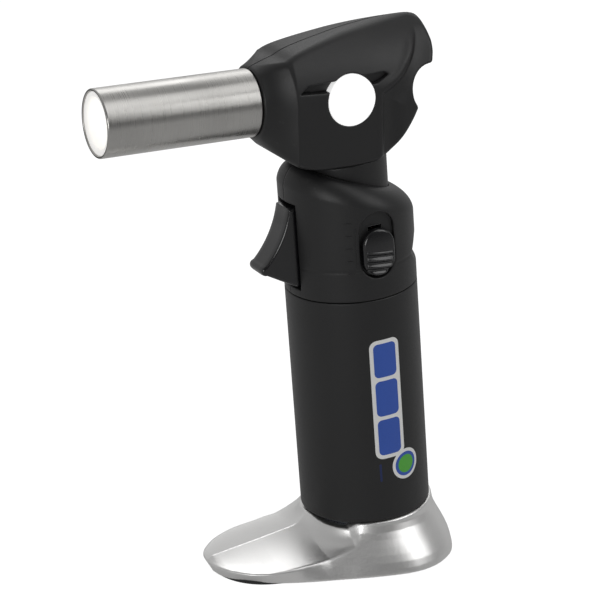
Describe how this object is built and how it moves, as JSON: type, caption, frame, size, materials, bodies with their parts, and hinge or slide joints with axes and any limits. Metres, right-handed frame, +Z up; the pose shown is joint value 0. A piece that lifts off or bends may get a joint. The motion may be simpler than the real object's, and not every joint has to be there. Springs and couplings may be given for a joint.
{
  "type": "butane torch",
  "caption": "Free-standing hand torch: leaning round body on a satin metal foot, black head with a horizontal steel flame tube, trigger, safety slide and flame wheel.",
  "frame": {"origin": "on the floor, under the lower end of the body's axis", "axes": "+Z up, flame tube towards -X, safety slide on the -Y side"},
  "size_m": [0.1136, 0.057, 0.168],
  "materials": {
    "brass": "machined brass",
    "ceramic": "unglazed white ceramic",
    "dark_plastic": "dark engineering plastic",
    "gloss_black": "gloss moulding",
    "hose": "clear-cream silicone hose",
    "nickel": "satin pearl nickel plating",
    "rubber": "matte rubber",
    "soft_black": "soft-touch matte moulding",
    "stainless": "brushed round the tube",
    "steel": "plain steel",
    "tank": "smoke grey tank plastic",
    "white_plastic": "satin white moulding",
    "wick": "cream wick",
    "wire": "red insulated wire"
  },
  "bodies": {
    "torch": {"head_shell_left": "soft_black", "head_shell_right": "soft_black", "head_screws": "steel", "hole_liner": "white_plastic", "neck_collar": "soft_black", "barrel_tube": "stainless", "ceramic_liner": "ceramic", "flame_holder": "ceramic", "mixing_tube": "brass", "burner_base": "brass", "gas_jet": "brass", "electrode_insulator": "ceramic", "electrode_tip": "steel", "gas_hose": "hose", "ignition_wire": "wire", "body_shell_left": "soft_black", "body_shell_right": "soft_black", "body_screws": "steel", "trigger_pin": "steel", "piezo_body": "dark_plastic", "lever_pin": "steel", "lever_bracket": "steel", "valve_body": "brass", "valve_seal": "rubber", "lower_sleeve": "soft_black", "fuel_tank": "tank", "tank_lid": "tank", "tank_seal": "rubber", "wick_tube": "wick", "fill_valve_body": "brass", "fill_valve_spring": "steel", "base_foot": "nickel", "base_pad": "rubber", "base_screws": "steel"},
    "trigger": {"trigger": "gloss_black"},
    "gas_lever": {"gas_lever": "steel"},
    "valve_stem": {"valve_stem": "brass"},
    "piezo_plunger": {"piezo_plunger": "dark_plastic"},
    "lock_slide": {"lock_button": "gloss_black", "lock_plate": "dark_plastic"},
    "flame_wheel": {"flame_wheel": "dark_plastic"},
    "fill_stem": {"fill_valve_stem": "steel"}
  },
  "joints": [
    {"name": "trigger_pull", "type": "hinge", "parent": "torch", "child": "trigger", "pos_m": [-0.02267, 0, 0.11118], "axis": [0, -1, 0], "range_deg": [0, 12], "stiffness_Nm_per_rad": 1.5, "springref_deg": -8.59},
    {"name": "gas_lever_rock", "type": "hinge", "parent": "torch", "child": "gas_lever", "pos_m": [-0.00782, 0, 0.10671], "axis": [0, 1, 0], "range_deg": [0, 6.7]},
    {"name": "valve_stem_press", "type": "slide", "parent": "torch", "child": "valve_stem", "axis": [0.0698, 0, -0.9976], "range_m": [0, 0.0015]},
    {"name": "piezo_press", "type": "slide", "parent": "torch", "child": "piezo_plunger", "axis": [0.9976, 0, 0.0698], "range_m": [0, 0.0043]},
    {"name": "safety_slide", "type": "slide", "parent": "torch", "child": "lock_slide", "axis": [-0.0698, 0, 0.9976], "range_m": [0, 0.0048]},
    {"name": "flame_adjust", "type": "hinge", "parent": "torch", "child": "flame_wheel", "pos_m": [0.00484, 0, 0.09767], "axis": [-0.0698, 0, 0.9976], "range_deg": [-90, 90]},
    {"name": "fill_valve_press", "type": "slide", "parent": "torch", "child": "fill_stem", "axis": [-0.0698, 0, 0.9976], "range_m": [0, 0.0015], "stiffness_N_per_m": 800, "springref_m": -0.0005, "deforming": ["fill_valve_spring"]}
  ],
  "couplings": [
    {"joint": "gas_lever_rock", "follows": "trigger_pull", "ratio": 0.55},
    {"joint": "valve_stem_press", "follows": "trigger_pull", "m_per_rad": 0.0068},
    {"joint": "piezo_press", "follows": "trigger_pull", "m_per_rad": 0.0197}
  ]
}
